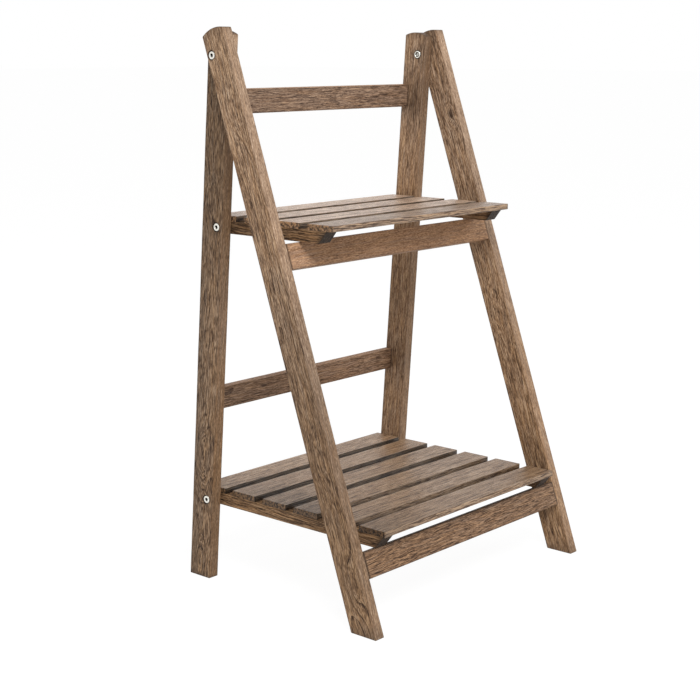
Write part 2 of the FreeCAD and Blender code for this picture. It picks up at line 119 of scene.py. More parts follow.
def board_surface(half, ease, end_ease, rows, low_end, high_end, seed, holes=()):
    """A board as a grid of loops in its own frame: s along it, a across it and b through it.

    Between the ends the loops lie square to the board at the places in rows, and their corner radius
    wanders between 65 and 100 percent of ease. At an end the radius shrinks by end_ease * (1 - cos)
    while the loop goes on by end_ease * sin of an angle up to 90 degrees, and the last loop closes
    in steps on the middle of the end face, at low_end(a, b) or high_end(a, b). A hole takes the
    grid's cells round its place away, and rings that change from that outline to a circle, then go
    down to the hole's floor, take their place. Gives points, faces and the depth inside a hole.
    """
    core, normal, shares = loop_columns(half)
    columns = len(core)
    body = np.asarray(rows)

    def loops(places):
        seeds = [seed + EASE_SEED_STEP * corner for corner in range(4)]
        worn = np.stack([wander(places, one, EASE_WAVE) for one in seeds], axis=-1)
        radius = ease * (EASE_MEAN + EASE_SWING * (worn @ shares.T))
        return core[None] * (np.asarray(half) - radius[..., None]) + normal[None] * radius[..., None]

    def end(face, inner, sign):
        flat = loops(np.array([inner]))
        angles = np.radians(END_TURNS)
        shrink = end_ease * (1 - np.cos(angles))[:, None, None]
        ring = flat - normal[None] * shrink
        s = face(ring[..., 0], ring[..., 1]) - sign * end_ease * (1 - np.sin(angles))[:, None]
        scale = np.array(LID_SCALES)[:, None, None]
        closing = ring[-1:] * scale
        lid = face(closing[..., 0], closing[..., 1])
        return (np.concatenate([np.concatenate([s[..., None], ring], axis=-1),
                                np.concatenate([lid[..., None], closing], axis=-1)]),
                np.array([[face(np.zeros(1), np.zeros(1))[0], 0, 0]]))

    flat = loops(body)
    middle = np.concatenate([np.repeat(body[:, None, None], columns, axis=1), flat], axis=-1)
    low, low_pole = end(low_end, body[0], -1)
    high, high_pole = end(high_end, body[-1], 1)
    grid = np.concatenate([low[::-1], middle, high])
    count = len(grid)
    index = np.arange(count * columns).reshape(count, columns)
    keep = np.ones((count - 1, columns), bool)
    points = [grid.reshape(-1, 3), low_pole, high_pole]
    depth = [np.zeros(count * columns + 2)]
    faces = []
    total = count * columns + 2
    for hole in holes:
        s0, a0, side, bore, deep = hole["s"], hole["a"], hole["side"], hole["radius"], hole["depth"]
        reach = bore + HOLE_CLEARANCE
        on_face = (normal[:, 1] == side) & (np.abs(flat[0, :, 0] - a0) < reach)
        across = np.flatnonzero(on_face)
        first = len(low) + int(np.argmin(np.abs(body - (s0 - reach))))
        last = len(low) + int(np.argmin(np.abs(body - (s0 + reach))))
        keep[first:last, across[0]:across[-1]] = False
        patch = index[first:last + 1, across[0]:across[-1] + 1]
        rim = np.concatenate([patch[0, :-1], patch[:-1, -1], patch[-1, :0:-1], patch[:0:-1, 0]])
        edge = points[0][rim]
        angle = np.arctan2(edge[:, 0] - s0, edge[:, 1] - a0)
        inner = [bore * scale for scale in FLOOR_SCALES]
        radii = np.array([bore + HOLE_LIP, bore, bore, bore - HOLE_LIP, *inner])
        drops = np.array([0, HOLE_LIP, deep - HOLE_LIP, deep, *(deep for _ in inner)])
        rings = np.stack([s0 + radii[:, None] * np.sin(angle), a0 + radii[:, None] * np.cos(angle),
                          np.repeat((side * (half[1] - drops))[:, None], len(rim), axis=1)], axis=-1)
        between = np.array(SURROUND_STEPS)[:, None, None]
        new = np.concatenate([edge[None] * (1 - between) + rings[:1] * between, rings])
        fresh = total + np.arange(new.shape[0] * len(rim)).reshape(-1, len(rim))
        ids = np.concatenate([rim[None], fresh])
        after = np.roll(ids, -1, axis=1)
        faces.append(np.stack([ids[:-1], after[:-1], after[1:], ids[1:]], axis=-1).reshape(-1, 4))
        points += [new.reshape(-1, 3), np.array([[s0, a0, side * (half[1] - deep)]])]
        level = np.zeros(len(SURROUND_STEPS))
        depth += [np.repeat(np.concatenate([level, drops]), len(rim)), np.array([deep])]
        pole = total + new.shape[0] * len(rim)
        faces.append(np.stack([ids[-1], after[-1], np.full(len(rim), pole)], axis=-1))
        total = pole + 1
    turned = np.roll(index, -1, axis=1)
    quads = np.stack([index[:-1], turned[:-1], turned[1:], index[1:]], axis=-1)
    faces.append(quads[keep])
    for pole, row in ((count * columns, 0), (count * columns + 1, -1)):
        faces.append(np.stack([index[row], turned[row], np.full(columns, pole)], axis=-1))
    return np.concatenate(points), faces, np.concatenate(depth)


def new_piece(name, points, faces):
    """A smooth mesh object at the origin from points in the shared frame, its faces turned outwards."""
    mesh = bpy.data.meshes.new(name)
    mesh.from_pydata(points.tolist(), [], [face for block in faces for face in block.tolist()])
    shape = bmesh.new()
    shape.from_mesh(mesh)
    bmesh.ops.recalc_face_normals(shape, faces=shape.faces[:])
    shape.to_mesh(mesh)
    shape.free()
    mesh.polygons.foreach_set("use_smooth", np.ones(len(mesh.polygons), bool))
    piece = bpy.data.objects.new(name, mesh)
    bpy.context.collection.objects.link(piece)
    return piece


def give(piece, name, values):
    """Store one vector for each point of a piece, for its material to read."""
    layer = piece.data.attributes.new(name, "FLOAT_VECTOR", "POINT")
    layer.data.foreach_set("vector", np.ascontiguousarray(values, dtype=np.float32).ravel())


def hills(s, a, places):
    """The sum of smooth hills over a board, each height * exp(-(along / length)^2 - (across / width)^2).

    A place is (s, a, length, width, height), all in millimetres but the height, whose unit is free.
    """
    total = np.zeros(len(s))
    for s0, a0, length, width, height in places:
        lengthwise = (s - s0 * MM) / (length * MM)
        crosswise = (a - a0 * MM) / (width * MM)
        total += height * np.exp(-lengthwise ** 2 - crosswise ** 2)
    return total


# Where the finish changes on a board: how far the colour of an edge (wear where the rim is light, painted
# shade where it is dark) and a sawn end reach, what counts as a narrow face and how much of the edge colour
# shows there. Then the painted shade in a hole below its lip, and the reach (in millimetres, for hills) and
# strength of the painted shade round its rim. The log shift keeps the boards' noise apart.
EDGE_REACH = 2.6 * MM
SAWN_REACH = 1.0 * MM
SAWN_START = 1.25
NARROW_LIMIT = 0.3 * MM
NARROW_EDGE_SHARE = 0.3
HOLE_PAINTED_SHADE = 2
HOLE_SHADE_FROM = 0.1 * MM
HOLE_RIM_SHADE_REACH = 6.5
HOLE_RIM_PAINTED_SHADE = 1.0
LOG_SHIFT = 1.37


def wooden_piece(name, node, place, half, ease, end_ease, rows, ends, grain, material, holes=()):
    """A board of the stand in the place of its solid, with what its wood needs to know.

    place holds the board's origin and its axes along, across and through. The grain of a point is
    its place in the log: s, and a and b counted from the log's heart, which drifts along the board
    and swells out round the places in swells. The zone is how near the point is to an edge, whether
    it is on an end, and how dark it turns: dark marks (scorches, with painted shade in some of them),
    and painted shade in a hole and round its rim. The tone is the brightness and the warmth of the
    stain, and the figure the strength of the flecks and of the rings. Brightness, warmth and flecks
    are given for the wide and the narrow faces. The brightness hills change the brightness, partly as
    the wood's own tone and partly as painted light and shade that the stand casts on itself; the
    hills in stains change the warmth and those in rings the rings. Painted shade can darken the lower
    side of the narrow faces, as in the gaps between slats.
    """
    low_end, high_end = ends
    local, faces, depth = board_surface(half, ease, end_ease, rows, low_end, high_end,
                                        grain["seed"], holes)
    s, a, b = local.T
    origin, along, across, through = (np.asarray(v, float) for v in place)
    points = origin + s[:, None] * along + a[:, None] * across + b[:, None] * through
    piece = new_piece(name, points, faces)
    heart = grain["heart"]
    drift = grain["drift"]
    shift = grain["seed"] * LOG_SHIFT
    swell = hills(s, a, grain.get("swells", ())) * MM
    from_heart_a = a - heart[0] * MM - drift[0] * s - swell
    from_heart_b = b - heart[1] * MM - drift[1] * s - np.sign(heart[1]) * swell
    give(piece, "grain", np.stack([s + shift, from_heart_a, from_heart_b], axis=-1))
    to_end = np.minimum(s - low_end(a, b), high_end(a, b) - s)
    gaps = np.sort(np.stack([half[0] - np.abs(a), half[1] - np.abs(b), to_end], axis=-1), axis=-1)
    narrow = half[0] - np.abs(a) < NARROW_LIMIT
    edge = np.clip(1 - gaps[:, 1] / EDGE_REACH, 0, 1) ** 2 * np.where(narrow, NARROW_EDGE_SHARE, 1.0)
    sawn = np.clip(SAWN_START - to_end / SAWN_REACH, 0, 1)
    # Painted shade on the lower side of a narrow face, as down in the gaps between slats.
    gap_shade = np.where(narrow, grain.get("gap_shade", 0) * (0.5 - 0.5 * b / half[1]), 0)

    def by_face(key):
        return np.where(narrow, grain[key][1], grain[key][0])

    # Brightness hills: the wood's own tone, and painted light and shade that the stand casts on itself.
    bright = by_face("tone") * (1 - gap_shade) * (1 + hills(s, a, grain.get("tone_and_painted_light", ())))
    warmth = by_face("warmth") + hills(s, a, grain.get("stains", ()))
    rings = 1 + hills(s, a, grain.get("rings", ()))
    # Scorched places darken the wood, a hole's walls and floor get painted shade, and so does a disc round
    # its rim.
    dark = hills(s, a, grain.get("scorches_and_shade", ())) + HOLE_PAINTED_SHADE * (depth > HOLE_SHADE_FROM)
    for hole in holes:
        rim = (hole["s"] / MM, hole["a"] / MM, HOLE_RIM_SHADE_REACH, HOLE_RIM_SHADE_REACH, HOLE_RIM_PAINTED_SHADE)
        dark += hills(s, a, [rim]) * (b * hole["side"] > 0)
    none = np.zeros(len(s))
    give(piece, "zone", np.stack([edge, sawn, dark], axis=-1))
    give(piece, "tone", np.stack([bright, warmth, none], axis=-1))
    give(piece, "figure", np.stack([by_face("flecks"), rings, none], axis=-1))
    piece.data.materials.append(material)
    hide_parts(node)
    return piece


def shader_node(tree, kind, sockets=(), **settings):
    """One node of a material: its settings, and its sockets with a value or a link for each."""
    made = tree.nodes.new(kind)
    for key, value in settings.items():
        setattr(made, key, value)
    for key, value in dict(sockets).items():
        if isinstance(value, bpy.types.NodeSocket):
            tree.links.new(value, made.inputs[key])
        else:
            made.inputs[key].default_value = value
    return made


def arithmetic(tree, operation, *values, clamp=False):
    """One step of arithmetic on numbers or links."""
    return shader_node(tree, "ShaderNodeMath", enumerate(values), operation=operation,
                       use_clamp=clamp).outputs[0]


def vectors(tree, operation, *values):
    """One step of arithmetic on vectors; a length comes out as a number."""
    made = shader_node(tree, "ShaderNodeVectorMath", enumerate(values), operation=operation)
    return made.outputs["Value" if operation == "LENGTH" else "Vector"]


def spread(tree, value, low, high, to_low=0.0, to_high=1.0):
    """A number mapped in a straight line from one span to another, and held at its ends."""
    return shader_node(tree, "ShaderNodeMapRange", {"Value": value, "From Min": low, "From Max": high,
                                                    "To Min": to_low, "To Max": to_high}).outputs[0]


def cloudy(tree, vector, scale, detail=2.0, roughness=0.5):
    """Noise over a vector whose three parts are scaled one by one."""
    return shader_node(tree, "ShaderNodeTexNoise", {"Vector": vectors(tree, "MULTIPLY", vector, scale),
                                                    "Scale": 1.0, "Detail": detail,
                                                    "Roughness": roughness})


def blended(tree, share, first, second, kind="MIX"):
    """Two colours mixed by a share."""
    made = shader_node(tree, "ShaderNodeMix", data_type="RGBA", blend_type=kind)
    sockets = (made.inputs["Factor"], made.inputs[6], made.inputs[7])
    for socket, value in zip(sockets, (share, first, second)):
        if isinstance(value, bpy.types.NodeSocket):
            tree.links.new(value, socket)
        else:
            socket.default_value = value
    return made.outputs[2]


def colour(red, green, blue):
    """A colour as the eye gives it, from 0 to 255, for a shader's linear socket."""
    parts = np.array([red, green, blue]) / 255
    linear = np.where(parts <= 0.04045, parts / 12.92, ((parts + 0.055) / 1.055) ** 2.4)
    return (*linear.tolist(), 1.0)


def ramp(tree, value, *stops):
    """A colour read off a row of stops, each a place between 0 and 1 and a colour."""
    made = shader_node(tree, "ShaderNodeValToRGB", {"Fac": value})
    row = made.color_ramp.elements
    for place, _ in stops[2:]:
        row.new(place)
    for element, (place, shade) in zip(row, stops):
        element.position = place
        element.color = shade
    return made.outputs["Color"]


def new_finish(name):
    """A material with an empty node tree, and the tree."""
    made = bpy.data.materials.new(name)
    made.use_nodes = True
    made.node_tree.nodes.clear()
    return made, made.node_tree


def show(tree, shader):
    """Lead a shader to the output of its material."""
    output = shader_node(tree, "ShaderNodeOutputMaterial")
    tree.links.new(shader.outputs[0], output.inputs["Surface"])


# The wood's noises, in cells per metre along, across and through the log, and how far the two kinds of bends
# push the fibres. Then the unevenness and sharpness of the rings, and the tints of the stain.
SLOW_BENDS = (6.0, 12.0, 12.0)
SLOW_PUSH = (0.0, 0.008, 0.008)
QUICK_BENDS = (40.0, 48.0, 48.0)
QUICK_PUSH = (0.0, 0.0022, 0.0022)
STREAKS = (12.0, 1050.0, 1050.0)
PORES = (260.0, 1200.0, 1200.0)
PORE_DEPTH = 0.9
CLOUDS = (9.0, 42.0, 42.0)
CLOUD_SHIFT = (3.1, 0.7, 0.2)
CLOUD_DEPTH = 0.2
DYE_STREAKS = (26.0, 420.0, 420.0)
DYE_DEPTH = 1.7
SAWN_PATCHES = (300.0, 330.0, 330.0)
SAWN_COVER = 0.9
RING_NOISE = 120.0
RING_UNEVEN = 3.0
RING_SHARPNESS = 6.0
RING_MEAN = 0.11
GREY_TINT = (0.93, 0.985, 1.12, 1)
WARM_TINT = (1.08, 0.99, 0.87, 1)
GRAIN_RELIEF = 0.0005
# Spans for spread, from low and high to low and high, and the places of the stops on a ramp.
FIGURED_SPAN = (0.36, 0.56, 0.3, 1.0)
EDGE_WEAR_AND_SHADE_SPAN = (0.35, 0.6, 0.15, 0.85)
BURNT_AND_SHADED_SPAN = (0.35, 0.6, 1.0, 0.45)
ROUGH_SPAN = (0.1, 0.9)
ROUGH_RISE = 0.16
SHADE_STOPS = (0.06, 0.5, 0.94)
SAWN_STOPS = (0.4, 0.62)


def stained_wood(name, dark, middle, light, rim, ends, ring, dash, fibre, depths, sheen, gloss):
    """Brushed and stained wood that is cut out of a log, so that its figure runs round the edges.

    The distance from the heart, bent by slow noise, is the way across the growth rings. Flecks are
    noise in dashes as wide as a fibre and streaks are noise in long ones, both laid along the grain, and
    each ring ends in a dark line; depths are theirs. Their sum, with fine pores and wide clouds, is a
    shade between dark and light. Wider streaks turn the stain from grey to warm, and edges turn to the
    rim's colour in broken lines: a light rim is wear, a dark rim is painted shade along the edges. Sawn
    ends are patchy between two colours, and scorched places, with the painted shade in and round a hole,
    are nearly black.
    Sheen is the roughness of the light shade, the dark one is rougher, and gloss is the mirror's strength.
    """
    fleck_depth, streak_depth, line_depth = depths
    made, tree = new_finish(name)

    def read(attribute):
        return shader_node(tree, "ShaderNodeAttribute", attribute_name=attribute).outputs["Vector"]

    grain = read("grain")
    edge, sawn, scorch_and_hole_shade = shader_node(tree, "ShaderNodeSeparateXYZ", {0: read("zone")}).outputs
    bright, warmth, _ = shader_node(tree, "ShaderNodeSeparateXYZ", {0: read("tone")}).outputs
    strength, rings, _ = shader_node(tree, "ShaderNodeSeparateXYZ", {0: read("figure")}).outputs
    bent = grain
    for bends, push in ((SLOW_BENDS, SLOW_PUSH), (QUICK_BENDS, QUICK_PUSH)):
        sway = vectors(tree, "SUBTRACT", cloudy(tree, grain, bends).outputs["Color"], (0.5, 0.5, 0.5))
        bent = vectors(tree, "ADD", bent, vectors(tree, "MULTIPLY", sway, push))
    from_heart = vectors(tree, "LENGTH", vectors(tree, "MULTIPLY", bent, (0.0, 1.0, 1.0)))
    fleck = cloudy(tree, bent, (1.0 / dash, 1.0 / fibre, 1.0 / fibre), 1.0, 0.5).outputs[0]
    streak = cloudy(tree, bent, STREAKS, 1.0, 0.5).outputs[0]
    pore = cloudy(tree, grain, PORES, 1.0).outputs[0]
    cloud = cloudy(tree, vectors(tree, "ADD", grain, CLOUD_SHIFT), CLOUDS, 2.0).outputs[0]
    uneven = shader_node(tree, "ShaderNodeTexNoise", {"W": from_heart, "Scale": RING_NOISE, "Detail": 1.0},
                         noise_dimensions="1D").outputs[0]
    pushed = arithmetic(tree, "MULTIPLY", uneven, RING_UNEVEN)
    phase = arithmetic(tree, "MULTIPLY_ADD", from_heart, 1.0 / ring, pushed)
    figured = spread(tree, cloud, *FIGURED_SPAN)
    line = arithmetic(tree, "POWER", arithmetic(tree, "FRACT", phase), RING_SHARPNESS)
    line = arithmetic(tree, "MULTIPLY", line, figured)
    figure = arithmetic(tree, "MULTIPLY_ADD", streak, streak_depth, -0.5 * (streak_depth + fleck_depth))
    figure = arithmetic(tree, "MULTIPLY_ADD", fleck, fleck_depth, figure)
    ringed = arithmetic(tree, "MULTIPLY", arithmetic(tree, "SUBTRACT", RING_MEAN, line), line_depth)
    figure = arithmetic(tree, "MULTIPLY_ADD", ringed, rings, figure)
    shade = arithmetic(tree, "MULTIPLY_ADD", cloud, CLOUD_DEPTH, 0.5 - 0.5 * (CLOUD_DEPTH + PORE_DEPTH))
    shade = arithmetic(tree, "MULTIPLY_ADD", pore, PORE_DEPTH, shade)
    shade = arithmetic(tree, "MULTIPLY_ADD", figure, strength, shade)
    base = ramp(tree, shade, *zip(SHADE_STOPS, (dark, middle, light)))
    dye = cloudy(tree, bent, DYE_STREAKS, 1.0).outputs[0]
    dyed = arithmetic(tree, "MULTIPLY_ADD", dye, DYE_DEPTH, -0.5 * DYE_DEPTH)
    hue = arithmetic(tree, "ADD", dyed, warmth, clamp=True)
    tint = blended(tree, hue, GREY_TINT, WARM_TINT)
    base = blended(tree, 1.0, base, tint, "MULTIPLY")
    # A light rim is wear on the edges; a dark rim is painted shade along them.
    worn_and_shaded_edge = arithmetic(tree, "MULTIPLY", edge, spread(tree, streak, *EDGE_WEAR_AND_SHADE_SPAN))
    base = blended(tree, worn_and_shaded_edge, base, rim)
    patch = cloudy(tree, grain, SAWN_PATCHES, 2.0, 0.6).outputs[0]
    base = blended(tree, arithmetic(tree, "MULTIPLY", sawn, SAWN_COVER), base,
                   ramp(tree, patch, *zip(SAWN_STOPS, ends)))
    # Scorches and the painted shade of holes turn nearly black.
    burnt_and_shaded = arithmetic(tree, "MULTIPLY", scorch_and_hole_shade, spread(tree, fleck, *BURNT_AND_SHADED_SPAN), clamp=True)
    base = blended(tree, burnt_and_shaded, base, dark)
    base = vectors(tree, "SCALE", base)
    tree.links.new(bright, base.node.inputs["Scale"])
    bump = shader_node(tree, "ShaderNodeBump", {"Strength": 0.4, "Distance": GRAIN_RELIEF, "Height": shade})
    rough = spread(tree, shade, *ROUGH_SPAN, sheen + ROUGH_RISE, sheen)
    surface = shader_node(tree, "ShaderNodeBsdfPrincipled", {"Base Color": base, "Roughness": rough,
                                                            "Normal": bump.outputs[0]})
    surface.inputs["Specular IOR Level"].default_value = gloss
    show(tree, surface)
    return made


# The dark rim is painted shade along the legs' edges.
LEG_WOOD = stained_wood("leg_wood", dark=colour(66, 48, 36), middle=colour(146, 116, 88),
                        light=colour(206, 174, 140), rim=colour(92, 71, 54),
                        ends=(colour(58, 43, 32), colour(96, 74, 56)),
                        ring=2.9 * MM, dash=16.0 * MM, fibre=1.0 * MM, depths=(1.8, 0.8, 0.22),
                        sheen=0.5, gloss=0.2)


def leaning(lean, corner, forward):
    """The axes of a leg frame that leans back (forward 1) or forward (-1) from a corner on the floor."""
    along = np.array([0, forward * math.sin(lean), math.cos(lean)])
    across = np.array([0, math.cos(lean), -forward * math.sin(lean)])
    return np.array([0, corner, 0]), along, across


def leg_ends(width, lean, shoulder, slope):
    """A level foot, s = rise of the slope across the leg, and a crowned top, an arc over the width."""
    radius = (width ** 2 / 4 + CROWN_RISE ** 2) / (2 * CROWN_RISE)

    def foot(a, b):
        return (a * slope + width / 2) * math.tan(lean)

    def crown(a, b):
        out = np.minimum(np.abs(a), width / 2)
        return shoulder + CROWN_RISE - radius + np.sqrt(radius ** 2 - out ** 2)

    return foot, crown


ROW_STEP = 5 * MM
ROW_CLEARANCE = 1.5 * MM
CLOSE_ROWS = 9


def leg_rows(ends, bolts):
    """Loop places in even steps between two ends, closer together round each bolt's counterbore."""
    first, last = ends
    reach = BOLT_RECESS_RADIUS + HOLE_CLEARANCE
    close = np.concatenate([bolt + np.linspace(-reach, reach, CLOSE_ROWS) for bolt in bolts])
    even = np.linspace(first, last, int((last - first) / ROW_STEP) + 1)
    away = np.abs(even[:, None] - np.asarray(bolts)[None])
    clear = np.all(away > reach + ROW_CLEARANCE, axis=1)
    return np.sort(np.concatenate([even[clear], close]))


# Among the brightness hills, the legs darken towards their feet, painted shade of light from above, and
# parts of the narrow front faces are lightened, partly painted light.
FRONT_GRAIN = {
    "left": {"seed": 11, "heart": (6, 26), "drift": (0.004, 0.016),
             "tone": (1.0, 1.1), "flecks": (1.0, 0.45), "warmth": (0.55, 0.1),
             "swells": [(610, 0, 26, 11, 5), (205, 2, 34, 12, 6), (66, -4, 30, 12, 7)],
             "tone_and_painted_light": [(160, 0, 250, 200, -0.37), (330, 0, 70, 200, -0.06), (530, 0, 150, 200, 0.06),
                        (450, -17, 32, 4, 0.2)],
             "stains": [(90, 0, 140, 200, 0.3), (380, 0, 80, 200, -0.2), (620, 0, 120, 200, -0.15)],
             "rings": [(66, 0, 60, 40, 3), (610, 0, 40, 40, 1)]},
    "right": {"seed": 12, "heart": (-8, 24), "drift": (-0.006, -0.014),
              "tone": (0.97, 1.0), "flecks": (1.0, 0.4), "warmth": (0.6, 0.1),
              "swells": [(594.5, -5.6, 15, 8, 5), (330, 4, 30, 10, 5)],
              "tone_and_painted_light": [(70, 0, 130, 200, -0.19), (110, -17, 110, 4, 0.24), (610, -17, 80, 4, 0.2),
                         (695, -17, 40, 4, 0.25)],
              "stains": [(60, 0, 120, 200, 0.2), (600, 0, 180, 200, -0.35), (220, -17, 200, 4, 0.2)],
              "scorches_and_shade": [(594.5, -5.6, 4.5, 3, 2.2)]},
}
front_corner, front_along, front_across = leaning(FRONT_LEAN, -HALF_DEPTH, 1)
for side, sign in (("left", -1), ("right", 1)):
    centre = np.array([sign * (HALF_WIDTH - LEG_THICKNESS / 2), 0, 0])
    origin = front_corner + centre + front_across * FRONT_LEG_WIDTH / 2
    place = (origin, front_along, front_across, (1, 0, 0))
    foot, crown = leg_ends(FRONT_LEG_WIDTH, FRONT_LEAN, FRONT_SHOULDER, 1)
    head = {"s": FRONT_BOLT_RUN, "a": FRONT_LEG_WIDTH / 2 - FRONT_BOLT_INSET, "side": sign,
            "radius": BOLT_RECESS_RADIUS, "depth": BOLT_RECESS_DEPTH}
    leg = wooden_piece(f"front_leg_{side}_board", f"front_leg_{side}", place,
                       (FRONT_LEG_WIDTH / 2, LEG_THICKNESS / 2), LEG_EASE, LEG_END_EASE,
                       leg_rows(FRONT_LEG_ROWS, [FRONT_BOLT_RUN]), (foot, crown),
                       FRONT_GRAIN[side], LEG_WOOD, holes=[head])
    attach(leg, "front_frame")

# Front rails: two thin boards of the same stained wood between the front legs, flush with their front
# faces and joined by dowels. The shelves' bearers lie on their upper edges.
FRONT_RAIL_HEIGHT = 30.0 * MM
FRONT_RAIL_THICKNESS = 12.0 * MM
RAIL_EASE = 1.0 * MM
RAIL_END_EASE = 0.25 * MM
RAIL_ROWS = 48
END_MARGIN = 3 * MM
FRONT_RAIL_RUNS = {"upper": 422.09 * MM, "lower": 66.14 * MM}
# The dark rim is painted shade along the rails' edges.
RAIL_WOOD = stained_wood("rail_wood", dark=colour(66, 48, 36), middle=colour(146, 114, 88),
                         light=colour(200, 164, 130), rim=colour(92, 71, 54),
                         ends=(colour(58, 43, 32), colour(96, 74, 56)),
                         ring=3.1 * MM, dash=18.0 * MM, fibre=0.71 * MM, depths=(2.0, 1.0, 0.25),
                         sheen=0.5, gloss=0.2)


def square_end(place):
    """An end cut square, at one place along the board."""
    return lambda a, b: np.full(np.shape(a), place)


def rail_piece(name, node, leg_frame, run, height, depth, thickness, reach, grain):
    """A rail along X in a leaning frame, a run up its legs and a depth behind the corner of their feet."""
    foot, along, across = leg_frame
    origin = foot + along * (run + height / 2) + across * (depth + thickness / 2)
    rows = np.linspace(-reach + END_MARGIN, reach - END_MARGIN, RAIL_ROWS)
    return wooden_piece(name, node, (origin, (1, 0, 0), along, across), (height / 2, thickness / 2),
                        RAIL_EASE, RAIL_END_EASE, rows, (square_end(-reach), square_end(reach)), grain,
                        RAIL_WOOD)


# On the upper rail one brightness hill paints the shadow under the left bearer, and another paints light,
# its warmth lowered by a stain, at the left end, where light passes the shelf's end.
FRONT_RAIL_GRAIN = {
    "upper": {"seed": 21, "heart": (4, -40), "drift": (0.01, 0.02),
              "tone": (1.12, 1.0), "flecks": (0.4, 0.4), "warmth": (0.9, 0.8),
              "tone_and_painted_light": [(-182, 0, 22, 100, 0.14), (-115, 0, 45, 100, -0.12), (150, 0, 50, 100, 0.1)],
              "stains": [(-182, 0, 40, 100, -0.4)]},
    "lower": {"seed": 22, "heart": (-3, -28), "drift": (0.005, 0.03),
              "tone": (0.6, 0.42), "flecks": (1.1, 0.5), "warmth": (0.7, 0.6),
              "tone_and_painted_light": [(-150, 0, 90, 100, -0.02)], "stains": [(-130, 0, 80, 100, 0.2)]},
}
for tier in ("upper", "lower"):
    rail = rail_piece(f"front_rail_{tier}_board", f"front_rail_{tier}",
                      (front_corner, front_along, front_across), FRONT_RAIL_RUNS[tier], FRONT_RAIL_HEIGHT, 0,
                      FRONT_RAIL_THICKNESS, HALF_WIDTH - LEG_THICKNESS, FRONT_RAIL_GRAIN[tier])
    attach(rail, "front_frame")

# Rear legs: two boards of the same wood on edge inside the front legs, nearly upright, with a level
# foot and a crowned top. Counterbores take the shelf bolts' heads outside and the top bolt's nut inside.
REAR_LEAN = math.radians(3.5201)
REAR_LEG_WIDTH = 33.3 * MM
WASHER_THICKNESS = 1.0 * MM
REAR_SHOULDER = 661.46 * MM
REAR_LEG_ROWS = (8 * MM, 654 * MM)
REAR_OUTER = HALF_WIDTH - LEG_THICKNESS - WASHER_THICKNESS
REAR_INNER = REAR_OUTER - LEG_THICKNESS
TOP_BOLT_RUN = 637.17 * MM
TOP_BOLT_INSET = 21.5 * MM
SHELF_BOLT_RUNS = {"upper": 438.57 * MM, "lower": 101.88 * MM}
SHELF_BOLT_INSET = 23.0 * MM
# Among the brightness hills, the left leg darkens below its top, partly painted shade where the front leg
# shades it, and its narrow front face lightens at the top, painted light, cooled by a stain there. The right
# leg darkens below the upper shelf, painted shade, and also where the rails meet it. Its dark mark by the
# front edge near the top is dark stain and painted shade together.
REAR_GRAIN = {
    "left": {"seed": 31, "heart": (3, 21), "drift": (0.004, 0.07),
             "tone": (0.65, 0.65), "flecks": (1.2, 0.4), "warmth": (0.62, 0.7),
             "swells": [(155, 2, 44, 10, 13), (15, 2, 40, 10, 14)],
             "rings": [(155, 0, 60, 40, 2.4), (20, 0, 50, 40, 2.8)],
             "tone_and_painted_light": [(520, 0, 140, 200, -0.18), (310, 0, 90, 200, 0.1), (260, 14, 260, 12, -0.2),
                        (665, -17, 30, 3, 1.2), (520, -17, 120, 4, 0.15), (490, -10, 60, 14, -0.12),
                        (40, 8, 70, 12, -0.12)],
             "stains": [(260, 14, 260, 14, -0.4), (260, -12, 260, 10, 0.1), (330, -17, 70, 6, -0.5),
                        (665, -17, 30, 3, -1.0)]},
    "right": {"seed": 32, "heart": (5, 27), "drift": (0.0, -0.015),
              "tone": (0.95, 0.8), "flecks": (0.8, 0.4), "warmth": (0.7, 0.7),
              "tone_and_painted_light": [(520, 0, 70, 200, 0.14), (340, 0, 70, 200, -0.1), (640, 0, 30, 200, 0.1),
                         (578, 0, 22, 200, -0.12), (222, 0, 22, 200, -0.2)],
              "stains": [(590, 0, 120, 200, -0.45), (222, 0, 30, 200, -0.3), (80, 0, 110, 200, -0.2)],
              "scorches_and_shade": [(574, -4, 32, 9, 1.1), (640, -14, 22, 5, 0.7)]},
}
rear_corner, rear_along, rear_across = leaning(REAR_LEAN, HALF_DEPTH, -1)
for side, sign in (("left", -1), ("right", 1)):
    centre = np.array([sign * (REAR_OUTER - LEG_THICKNESS / 2), 0, 0])
    origin = rear_corner + centre - rear_across * REAR_LEG_WIDTH / 2
    place = (origin, rear_along, rear_across, (1, 0, 0))
    foot, crown = leg_ends(REAR_LEG_WIDTH, REAR_LEAN, REAR_SHOULDER, -1)
    recess = {"radius": BOLT_RECESS_RADIUS, "depth": BOLT_RECESS_DEPTH}
    holes = [{"s": TOP_BOLT_RUN, "a": REAR_LEG_WIDTH / 2 - TOP_BOLT_INSET, "side": -sign, **recess}]
    for tier in ("upper", "lower"):
        holes.append({"s": SHELF_BOLT_RUNS[tier], "a": REAR_LEG_WIDTH / 2 - SHELF_BOLT_INSET,
                      "side": sign, **recess})
    leg = wooden_piece(f"rear_leg_{side}_board", f"rear_leg_{side}", place,
                       (REAR_LEG_WIDTH / 2, LEG_THICKNESS / 2), LEG_EASE, LEG_END_EASE,
                       leg_rows(REAR_LEG_ROWS, [hole["s"] for hole in holes]), (foot, crown),
                       REAR_GRAIN[side], LEG_WOOD, holes=holes)
    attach(leg, "rear_frame")

